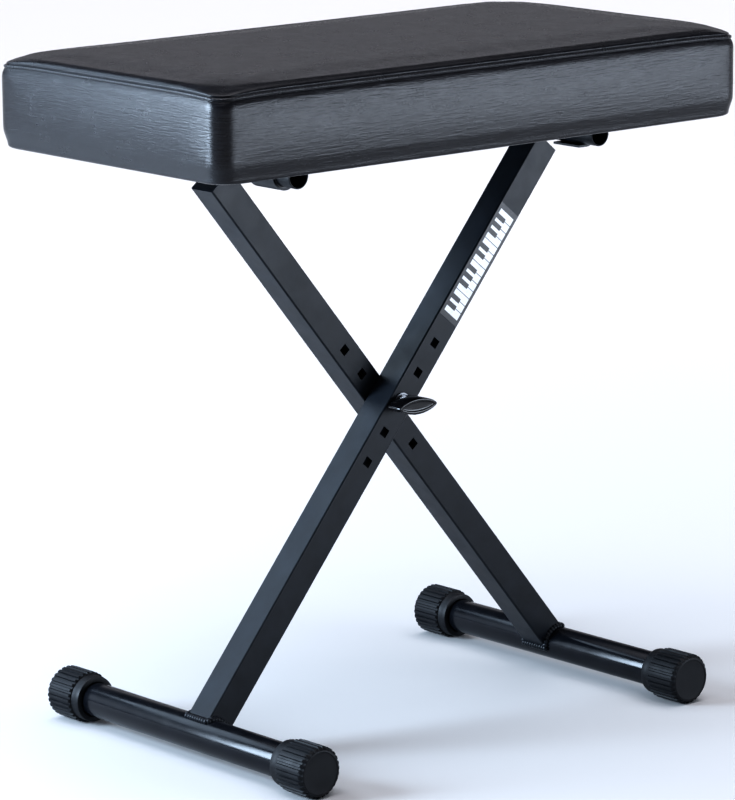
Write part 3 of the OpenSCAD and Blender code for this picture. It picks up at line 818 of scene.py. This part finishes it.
def weld_ripples(leg, side):
    """Overlapping ripples of weld metal, round the leg's foot and along the cross tube."""
    low, high = node_box(leg + "_tube")
    # round the foot, where the leg's end is cut to sit on the floor tube
    reach = FOOT_R + 0.5
    meet = math.asin(min(LEG_W / 2 / reach, 0.98))
    steps = 8
    loop = []
    for y, way in ((low.y, 1), (high.y, -1)):
        for k in range(-steps, steps + 1):
            turn = meet * way * k / steps
            loop.append(leg_point(side, reach * math.cos(turn) - LEG_LOWER, reach * math.sin(turn), y))
    # two lines where the leg's upper end meets the cross tube
    c, s = math.cos(LEG_ANGLE), math.sin(LEG_ANGLE)
    dx, dz = abs(CROSS.x), CROSS.z - PIVOT.z
    along = dx * c + dz * s
    across = -dx * s + dz * c
    inner = along - math.sqrt(CROSS_R ** 2 - (LEG_W / 2 - across) ** 2)
    outer = along - CROSS_R + 1.2
    ends = (low.y + 2, high.y - 2)
    lines = [
        [leg_point(side, inner - 0.3, LEG_W / 2 + 0.4, y) for y in ends],
        [leg_point(side, outer, across - 0.55 * CROSS_R, y) for y in ends],
    ]
    paths = [(loop, True)] + [(line, False) for line in lines]
    bead, pitch = unit_bead(4.6, 6.6, 6.6, sides=12, rings=5), 3.3
    beads = repeat_along(leg + "_weld_beads", paths, bead, pitch, SATIN)
    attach(beads, leg)
    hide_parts(leg + "_welds")


def leg_label():
    """A black sticker with a strip of white and black piano keys on it."""
    face_y = node_box("front_leg_tube")[0].y
    # from the pivot to its lower end, its length along the leg and its width across
    start, length, width = 89, 121, LEG_W - 2
    black, white = 0, 1
    bm = bmesh.new()

    def plate(a0, a1, b0, b1, thick, finish):
        """A thin plate on the leg's face, from a0 to a1 along it and from b0 to b1 across."""
        corners = [(a0, b0), (a1, b0), (a1, b1), (a0, b1)]
        layers = []
        for y in (face_y - 0.02, face_y - thick):
            layers.append([bm.verts.new(Vector(leg_point(1, a, b, y)) * MM) for a, b in corners])
        faces = [bm.faces.new(layers[0]), bm.faces.new(layers[1])]
        for k in range(4):
            m = (k + 1) % 4
            faces.append(bm.faces.new((layers[0][k], layers[0][m], layers[1][m], layers[1][k])))
        for face in faces:
            face.material_index = finish

    plate(start, start + length, -width / 2, width / 2, 0.22, black)
    margin, keys, gap, edge = 5, 14, 0.35, 3.2
    pitch = (length - 2 * margin) / keys
    for k in range(keys):
        a = start + margin + k * pitch
        plate(a + gap, a + pitch - gap, -width / 2 + edge, width / 2 - edge, 0.26, white)
    for k in range(keys - 1):
        # no black key after the third and the seventh of an octave
        if k % 7 in (2, 6):
            continue
        a = start + margin + (k + 1) * pitch
        plate(a - 0.3 * pitch, a + 0.3 * pitch, -1.5, width / 2 - 3, 0.3, black)
    bmesh.ops.recalc_face_normals(bm, faces=bm.faces)
    mesh = bpy.data.meshes.new("leg_sticker")
    bm.to_mesh(mesh)
    bm.free()
    label = new_object("leg_sticker", mesh, LABEL_BLACK)
    mesh.materials.append(LABEL_WHITE)
    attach(label, "front_leg")
    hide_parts("leg_label")


# ---------- knob ----------

def leaf_outline(length, width):
    """A leaf between two arcs, with rounded tips, as points round the middle."""
    steps, sharpness = 112, 14
    arc_r = (length * length + width * width) / (4 * width)
    offset = arc_r - width / 2
    tip = length / 2 - 1.2
    points = []
    for k in range(steps):
        turn = 2 * math.pi * (k + 0.5) / steps
        dx, dz = math.cos(turn), math.sin(turn)
        side = -offset * abs(dz) + math.sqrt(arc_r * arc_r - (offset * dx) ** 2)
        # the nearer of the arc and the tip, blended where they meet
        reach = (side ** -sharpness + tip ** -sharpness) ** (-1 / sharpness)
        points.append((reach * dx, reach * dz))
    return points


def knob_leaf():
    """The knob: a leaf-shaped handle with a raised rim round an inset face, on a round hub."""
    low, high = node_box("knob_body")
    rim = 4
    length = high.x - low.x + 3 - rim
    width = high.z - low.z - rim
    hub_l, hub_r, bore = 5.5, 7, 5.6
    back, front = high.y - hub_l, low.y
    # how far each row stands outside the handle's inner outline, and its place along the bolt
    rows = [
        (0.55, back + 0.3), (0.93, back + 0.05), (1.6, back - 0.3), (2.0, back - 1.1), (2.0, front + 1.3),
        (1.75, front + 0.5), (1.2, front + 0.1), (0.6, front), (-0.6, front), (-1.1, front + 0.15),
        (-1.5, front + 0.8), (-1.9, front + 1.0), (-3.0, front + 1.05),
    ]
    rings = []
    for grow, y in rows:
        outline = leaf_outline(length + 2 * grow, width + 2 * grow)
        rings.append([(PIVOT.x + x, y, PIVOT.z + z) for x, z in outline])
    behind = (PIVOT.x, back + 0.3, PIVOT.z)
    before = (PIVOT.x, front + 0.95, PIVOT.z)
    handle = from_rings("knob_handle", rings, KNOB_BLACK, behind, before)
    sharpen(handle, 55)
    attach(handle, "knob")
    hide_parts("knob_body")

    profile = [(bore, back - 4), (bore, high.y - 0.4), (bore + 0.5, high.y - 0.02)]
    profile += [(hub_r - 0.9, high.y - 0.02), (hub_r - 0.2, high.y - 0.3), (hub_r, high.y - 1)]
    profile += [(hub_r, back + 1.2), (hub_r + 0.5, back + 0.4), (hub_r + 0.6, back - 1)]
    hub = from_rings("knob_hub", lathe_y(PIVOT, profile, steps=64), KNOB_BLACK, loop=True)
    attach(hub, "knob")


# ---------- camera, lights and floor ----------

def corner_camera():
    """The view from the left front corner, a little above the seat."""
    yaw, pitch, roll = math.radians(40.819), math.radians(11.893), math.radians(-0.399)
    ahead = Vector((math.sin(yaw) * math.cos(pitch), math.cos(yaw) * math.cos(pitch), -math.sin(pitch)))
    right = Vector((math.cos(yaw), -math.sin(yaw), 0))
    up = right.cross(ahead)
    right_r = math.cos(roll) * right + math.sin(roll) * up
    up_r = math.cos(roll) * up - math.sin(roll) * right
    data = bpy.data.cameras.new("camera")
    data.sensor_width = 36
    data.lens = 200.2
    data.clip_end = 100
    camera = bpy.data.objects.new("camera", data)
    bpy.context.collection.objects.link(camera)
    turn = Matrix((right_r, up_r, -ahead)).transposed().to_4x4()
    camera.matrix_world = Matrix.Translation((-2.5979, -2.9939, 1.1268)) @ turn
    bpy.context.scene.camera = camera


def softbox(name, place, target, size, radiance, colour):
    """A rectangular light that faces the target, as bright as radiance all over."""
    data = bpy.data.lights.new(name, "AREA")
    data.shape = "RECTANGLE"
    data.size, data.size_y = size
    data.energy = radiance * math.pi * size[0] * size[1]
    data.color = colour
    light = bpy.data.objects.new(name, data)
    bpy.context.collection.objects.link(light)
    aim = Vector(target) - Vector(place)
    light.matrix_world = Matrix.Translation(place) @ aim.to_track_quat("-Z", "Y").to_matrix().to_4x4()
    light.visible_camera = False


def studio_world():
    """A dim room, a little lighter round its walls, with one large soft light straight above."""
    world = bpy.data.worlds.new("studio")
    world.use_nodes = True
    nodes, link = world.node_tree.nodes, world.node_tree.links.new
    coords = nodes.new("ShaderNodeTexCoord")
    parts = nodes.new("ShaderNodeSeparateXYZ")
    ramp = nodes.new("ShaderNodeValToRGB")
    stops = ramp.color_ramp.elements
    # brightness by height, from the horizon at 0 to the zenith at 1
    levels = ((0.0, 0.05), (0.11, 0.06), (0.19, 0.185), (0.30, 0.170),
              (0.45, 0.012), (0.74, 0.012), (0.92, 1.0))
    stops[0].position, stops[-1].position = levels[0][0], levels[-1][0]
    for place, _ in levels[1:-1]:
        stops.new(place)
    for stop, (_, value) in zip(stops, levels):
        stop.color = (value, value, value, 1)
    times = nodes.new("ShaderNodeMath")
    times.operation = "MULTIPLY"
    times.inputs[1].default_value = 2.7
    link(coords.outputs["Generated"], parts.inputs["Vector"])
    link(parts.outputs["Z"], ramp.inputs["Fac"])
    link(ramp.outputs["Color"], times.inputs[0])
    link(times.outputs["Value"], nodes["Background"].inputs["Strength"])
    nodes["Background"].inputs["Color"].default_value = (0.93, 0.93, 1.0, 1)
    bpy.context.scene.world = world


def studio():
    """Four softboxes: three cool ones at the left for the seat's end, one in front for its long side."""
    studio_world()
    bpy.context.scene.view_settings.view_transform = "Standard"
    bpy.context.scene.view_settings.look = "High Contrast"
    blue, pale_blue = (0.68, 0.83, 1.0), (0.78, 0.87, 1.0)
    softbox("left_bright", (-1.95, 1.00, 0.90), (-0.3, 0, 0.57), (0.9, 1.1), 31.0, blue)
    softbox("left_back", (-1.3, 1.75, 0.75), (0, 0, 0.5), (1.0, 1.2), 0.9, blue)
    softbox("left_high", (-0.75, 1.7, 1.65), (0, 0, 0.3), (1.1, 0.9), 3.6, blue)
    softbox("right_front", (1.35, -2.0, 0.42), (0, 0, 0.42), (1.9, 0.66), 7.6, pale_blue)


def pale_floor():
    """A plain floor, a little paler away from the bench, with painted shade darkening it near the bench.
    """
    reach = 30
    mesh = bpy.data.meshes.new("floor")
    corners = [(-reach, -reach, 0), (reach, -reach, 0), (reach, reach, 0), (-reach, reach, 0)]
    mesh.from_pydata(corners, [], [(0, 1, 2, 3)])
    s = Surface("pale_floor", (0.50, 0.50, 0.50), 0.9, specular=0.1)
    away = s.add("ShaderNodeVectorMath", operation="LENGTH")
    s.link(s.place((1, 1, 1)), away.inputs[0])
    # painted shade: the floor's colour is darkest round the bench and grows paler away from it
    s.vary_colour(s.ramp(away.outputs["Value"], 0.5, 2.6), (0.80, 0.80, 0.79))
    new_object("floor", mesh, s.done())


# ---------- build ----------

corner_camera()
studio()
pale_floor()
finish_cad_nodes()
cushion_rings = seat_cushion()
seam_stitches(cushion_rings)
dust_cover_sheet()
smooth_tube("foot_tube_left", "front_leg", GLOSS)
smooth_tube("foot_tube_right", "rear_leg", GLOSS)
smooth_tube("cross_tube_left", "rear_leg", SATIN)
smooth_tube("cross_tube_right", "front_leg", SATIN)
for cap_side, cap_body in (("left", "left_feet"), ("right", "rear_leg")):
    for cap_end in ("front", "rear"):
        ribbed_cap(f"foot_cap_{cap_side}_{cap_end}", cap_body)
weld_ripples("front_leg", 1)
weld_ripples("rear_leg", -1)
leg_label()
knob_leaf()
